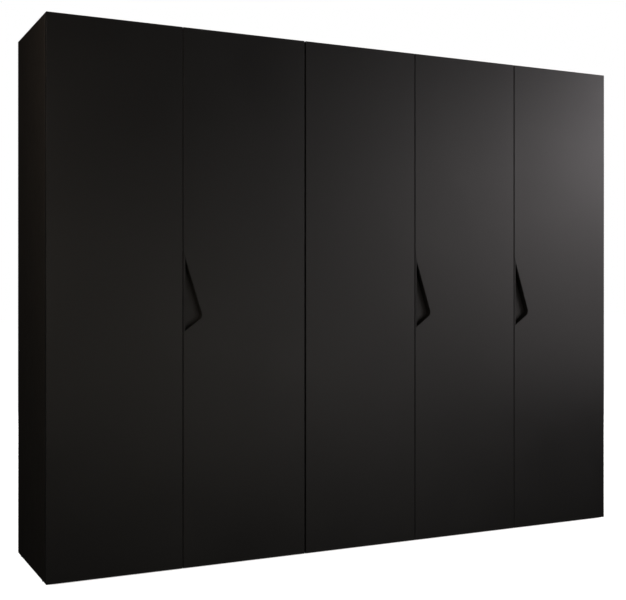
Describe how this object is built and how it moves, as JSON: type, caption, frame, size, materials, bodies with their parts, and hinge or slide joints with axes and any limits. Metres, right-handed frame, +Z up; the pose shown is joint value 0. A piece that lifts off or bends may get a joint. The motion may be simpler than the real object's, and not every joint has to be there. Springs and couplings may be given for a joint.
{
  "type": "wardrobe",
  "caption": "Wide black wardrobe with full-height hinged doors, sunken leaning finger grips, hanging rails and shelves.",
  "frame": {"origin": "middle of the footprint, at floor level", "axes": "+X along the fronts to the viewer's right, +Y from the fronts to the back, +Z up"},
  "size_m": [2.5, 0.51, 2],
  "materials": {
    "front_laminate": "satin black melamine on chipboard",
    "carcass_laminate": "matte black melamine on chipboard",
    "shelf_laminate": "anthracite melamine with a fine linen grain",
    "back_board": "painted fibreboard, dull anthracite",
    "grip_moulding": "fine-grained black moulding",
    "hinge_steel": "nickel-plated pressed steel",
    "rail_chrome": "chromed oval tube",
    "glide_plastic": "black nylon"
  },
  "bodies": {
    "carcass": {"left_unit_outer_side": "carcass_laminate", "left_unit_inner_side": "carcass_laminate", "left_unit_bottom": "carcass_laminate", "left_unit_top": "carcass_laminate", "left_unit_plinth": "carcass_laminate", "left_unit_back": "back_board", "left_unit_hat_shelf": "shelf_laminate", "left_unit_rail": "rail_chrome", "left_unit_rail_socket_left": "hinge_steel", "left_unit_rail_socket_right": "hinge_steel", "right_unit_inner_side": "carcass_laminate", "right_unit_outer_side": "carcass_laminate", "right_unit_partition": "carcass_laminate", "right_unit_bottom": "carcass_laminate", "right_unit_top": "carcass_laminate", "right_unit_plinth": "carcass_laminate", "right_unit_back_wide": "back_board", "right_unit_back_narrow": "back_board", "right_unit_hat_shelf": "shelf_laminate", "right_unit_rail": "rail_chrome", "right_unit_rail_socket_left": "hinge_steel", "right_unit_rail_socket_right": "hinge_steel", "shelf_1": "shelf_laminate", "shelf_2": "shelf_laminate", "shelf_3": "shelf_laminate", "shelf_4": "shelf_laminate", "glide_left_outer_front": "glide_plastic", "glide_left_outer_rear": "glide_plastic", "glide_left_inner_front": "glide_plastic", "glide_left_inner_rear": "glide_plastic", "glide_right_inner_front": "glide_plastic", "glide_right_inner_rear": "glide_plastic", "glide_right_outer_front": "glide_plastic", "glide_right_outer_rear": "glide_plastic", "middle_foot_front": "glide_plastic", "middle_foot_rear": "glide_plastic"},
    "door_1": {"door_1": "front_laminate", "hinge_cup_1_low": "hinge_steel", "hinge_cup_1_middle": "hinge_steel", "hinge_cup_1_high": "hinge_steel"},
    "door_2": {"door_2": "front_laminate", "grip_shell_2": "grip_moulding", "hinge_cup_2_low": "hinge_steel", "hinge_cup_2_middle": "hinge_steel", "hinge_cup_2_high": "hinge_steel"},
    "door_3": {"door_3": "front_laminate", "hinge_cup_3_low": "hinge_steel", "hinge_cup_3_middle": "hinge_steel", "hinge_cup_3_high": "hinge_steel"},
    "door_4": {"door_4": "front_laminate", "grip_shell_4": "grip_moulding", "hinge_cup_4_low": "hinge_steel", "hinge_cup_4_middle": "hinge_steel", "hinge_cup_4_high": "hinge_steel"},
    "door_5": {"door_5": "front_laminate", "grip_shell_5": "grip_moulding", "hinge_cup_5_low": "hinge_steel", "hinge_cup_5_middle": "hinge_steel", "hinge_cup_5_high": "hinge_steel"}
  },
  "joints": [
    {"name": "door_1_hinge", "type": "hinge", "parent": "carcass", "child": "door_1", "pos_m": [-1.25, -0.255, 1], "axis": [0, 0, -1], "range_deg": [0, 105]},
    {"name": "door_2_hinge", "type": "hinge", "parent": "carcass", "child": "door_2", "pos_m": [-0.2527, -0.255, 1], "axis": [0, 0, 1], "range_deg": [0, 90]},
    {"name": "door_3_hinge", "type": "hinge", "parent": "carcass", "child": "door_3", "pos_m": [-0.2473, -0.255, 1], "axis": [0, 0, -1], "range_deg": [0, 90]},
    {"name": "door_4_hinge", "type": "hinge", "parent": "carcass", "child": "door_4", "pos_m": [0.7487, -0.255, 1], "axis": [0, 0, 1], "range_deg": [0, 105]},
    {"name": "door_5_hinge", "type": "hinge", "parent": "carcass", "child": "door_5", "pos_m": [1.25, -0.255, 1], "axis": [0, 0, 1], "range_deg": [0, 105]}
  ]
}
